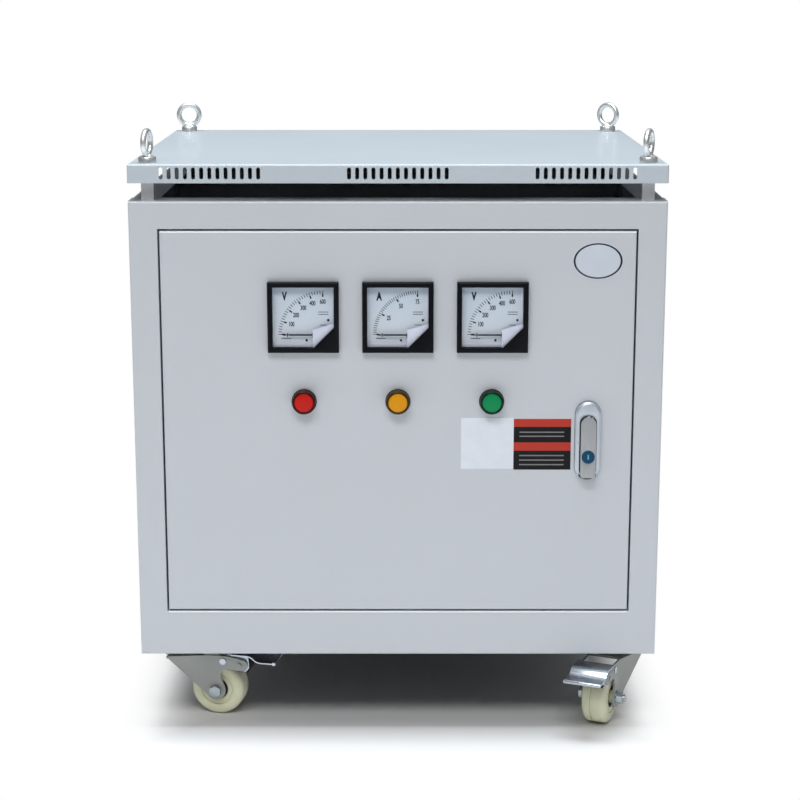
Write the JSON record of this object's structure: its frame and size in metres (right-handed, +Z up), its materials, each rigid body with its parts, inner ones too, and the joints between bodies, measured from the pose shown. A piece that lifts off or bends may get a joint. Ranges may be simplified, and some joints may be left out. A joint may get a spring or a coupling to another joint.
{
  "type": "dry-type transformer cabinet",
  "caption": "Three-phase dry-type transformer in a ventilated sheet-metal cabinet with a hinged door, panel meters, pilot lamps, lifting eyes and braked swivel casters.",
  "frame": {"origin": "on the floor, under the centre of the whole object's box", "axes": "+Z up, -Y towards the door's side, +X to the viewer's right when facing the door"},
  "size_m": [0.6, 0.5318, 0.702],
  "materials": {
    "shell_paint": "satin powder coat",
    "lid_paint": "satin powder coat",
    "door_paint": "satin powder coat",
    "zinc": "satin zinc plate",
    "bright_zinc": "bright zinc plate",
    "lock_metal": "satin",
    "key_blue": "gloss",
    "meter_black": "fine matt",
    "dial_white": "matt",
    "window_clear": "clear acrylic",
    "pointer_black": "matt",
    "lamp_red": "gloss",
    "lamp_amber": "gloss",
    "lamp_green": "gloss",
    "lamp_black": "satin",
    "nylon": "satin",
    "black_rubber": "matt",
    "core_steel": "satin",
    "clamp_paint": "satin",
    "winding": "varnished copper",
    "inner_winding": "varnished copper",
    "pressboard": "matt",
    "board": "satin",
    "copper": "satin"
  },
  "bodies": {
    "cabinet": {"front_frame": "shell_paint", "side_wall_left": "shell_paint", "side_wall_right": "shell_paint", "rear_panel": "shell_paint", "base_beams": "shell_paint", "lid": "lid_paint", "lid_posts": "shell_paint", "eye_bolts": "zinc", "hinge_pins": "zinc", "caster_plates": "zinc", "core": "core_steel", "inner_windings": "inner_winding", "outer_windings": "winding", "duct_sticks": "pressboard", "lower_clamps": "clamp_paint", "upper_clamps": "clamp_paint", "rubber_pads": "black_rubber", "terminal_board": "board", "busbars": "copper"},
    "door": {"door_panel": "door_paint", "meter_dials": "dial_white", "meter_windows": "window_clear", "lamp_bodies": "lamp_black", "lock_housing": "lock_metal", "meter_case_left": "meter_black", "meter_case_middle": "meter_black", "meter_case_right": "meter_black", "lamp_cap_red": "lamp_red", "lamp_cap_amber": "lamp_amber", "lamp_cap_green": "lamp_green"},
    "turntable": {"lock_spindle": "lock_metal", "lock_cam": "zinc", "lock_pin": "zinc"},
    "lever": {"lock_lever": "lock_metal"},
    "key_barrel": {"lock_key_barrel": "key_blue"},
    "pointer_left": {"meter_pointer_left": "pointer_black"},
    "pointer_middle": {"meter_pointer_middle": "pointer_black"},
    "pointer_right": {"meter_pointer_right": "pointer_black"},
    "fork_front_left": {"fork_front_left": "zinc", "axle_front_left": "zinc"},
    "wheel_front_left": {"wheel_front_left": "nylon"},
    "pedal_front_left": {"brake_pedal_front_left": "bright_zinc", "brake_pad_front_left": "black_rubber"},
    "fork_front_right": {"fork_front_right": "zinc", "axle_front_right": "zinc"},
    "wheel_front_right": {"wheel_front_right": "nylon"},
    "pedal_front_right": {"brake_pedal_front_right": "bright_zinc", "brake_pad_front_right": "black_rubber"},
    "fork_rear_left": {"fork_rear_left": "zinc", "axle_rear_left": "zinc"},
    "wheel_rear_left": {"wheel_rear_left": "nylon"},
    "fork_rear_right": {"fork_rear_right": "zinc", "axle_rear_right": "zinc"},
    "wheel_rear_right": {"wheel_rear_right": "nylon"}
  },
  "joints": [
    {"name": "door_hinge", "type": "hinge", "parent": "cabinet", "child": "door", "pos_m": [-0.254, -0.2106, 0.369], "axis": [0, 0, -1], "range_deg": [0, 110]},
    {"name": "lock_turn", "type": "hinge", "parent": "door", "child": "turntable", "pos_m": [0.216, -0.2171, 0.3713], "axis": [0, -1, 0], "range_deg": [0, 90]},
    {"name": "lever_lift", "type": "hinge", "parent": "turntable", "child": "lever", "pos_m": [0.216, -0.2267, 0.3778], "axis": [-1, 0, 0], "range_deg": [0, 40]},
    {"name": "key_turn", "type": "hinge", "parent": "lever", "child": "key_barrel", "pos_m": [0.216, -0.22711, 0.3337], "axis": [0, -1, 0], "range_deg": [0, 90]},
    {"name": "pointer_left", "type": "hinge", "parent": "door", "child": "pointer_left", "pos_m": [-0.0843, -0.22021, 0.473], "axis": [0, 1, 0], "range_deg": [0, 90], "stiffness_Nm_per_rad": 0.001, "springref_deg": -5.73},
    {"name": "pointer_middle", "type": "hinge", "parent": "door", "child": "pointer_middle", "pos_m": [0.022, -0.22021, 0.473], "axis": [0, 1, 0], "range_deg": [0, 90], "stiffness_Nm_per_rad": 0.001, "springref_deg": -5.73},
    {"name": "pointer_right", "type": "hinge", "parent": "door", "child": "pointer_right", "pos_m": [0.1283, -0.22021, 0.473], "axis": [0, 1, 0], "range_deg": [0, 90], "stiffness_Nm_per_rad": 0.001, "springref_deg": -5.73},
    {"name": "swivel_front_left", "type": "hinge", "parent": "cabinet", "child": "fork_front_left", "pos_m": [-0.259, -0.1463, 0.084], "axis": [0, 0, 1], "continuous": true},
    {"name": "roll_front_left", "type": "hinge", "parent": "fork_front_left", "child": "wheel_front_left", "pos_m": [-0.21397, -0.15571, 0.032], "axis": [0.2045, 0.9789, 0], "continuous": true},
    {"name": "brake_front_left", "type": "hinge", "parent": "fork_front_left", "child": "pedal_front_left", "pos_m": [-0.20458, -0.15768, 0.0694], "axis": [0.2045, 0.9789, 0], "range_deg": [0, 8]},
    {"name": "swivel_front_right", "type": "hinge", "parent": "cabinet", "child": "fork_front_right", "pos_m": [0.259, -0.1463, 0.084], "axis": [0, 0, 1], "continuous": true},
    {"name": "roll_front_right", "type": "hinge", "parent": "fork_front_right", "child": "wheel_front_right", "pos_m": [0.24073, -0.18852, 0.032], "axis": [0.9178, -0.3971, 0], "continuous": true},
    {"name": "brake_front_right", "type": "hinge", "parent": "fork_front_right", "child": "pedal_front_right", "pos_m": [0.23692, -0.19733, 0.0694], "axis": [0.9178, -0.3971, 0], "range_deg": [0, 8]},
    {"name": "swivel_rear_left", "type": "hinge", "parent": "cabinet", "child": "fork_rear_left", "pos_m": [-0.259, 0.19209, 0.084], "axis": [0, 0, 1], "continuous": true},
    {"name": "roll_rear_left", "type": "hinge", "parent": "fork_rear_left", "child": "wheel_rear_left", "pos_m": [-0.22132, 0.21848, 0.032], "axis": [-0.5736, 0.8192, 0], "continuous": true},
    {"name": "swivel_rear_right", "type": "hinge", "parent": "cabinet", "child": "fork_rear_right", "pos_m": [0.259, 0.19209, 0.084], "axis": [0, 0, 1], "continuous": true},
    {"name": "roll_rear_right", "type": "hinge", "parent": "fork_rear_right", "child": "wheel_rear_right", "pos_m": [0.22376, 0.22166, 0.032], "axis": [-0.6428, -0.766, 0], "continuous": true}
  ]
}
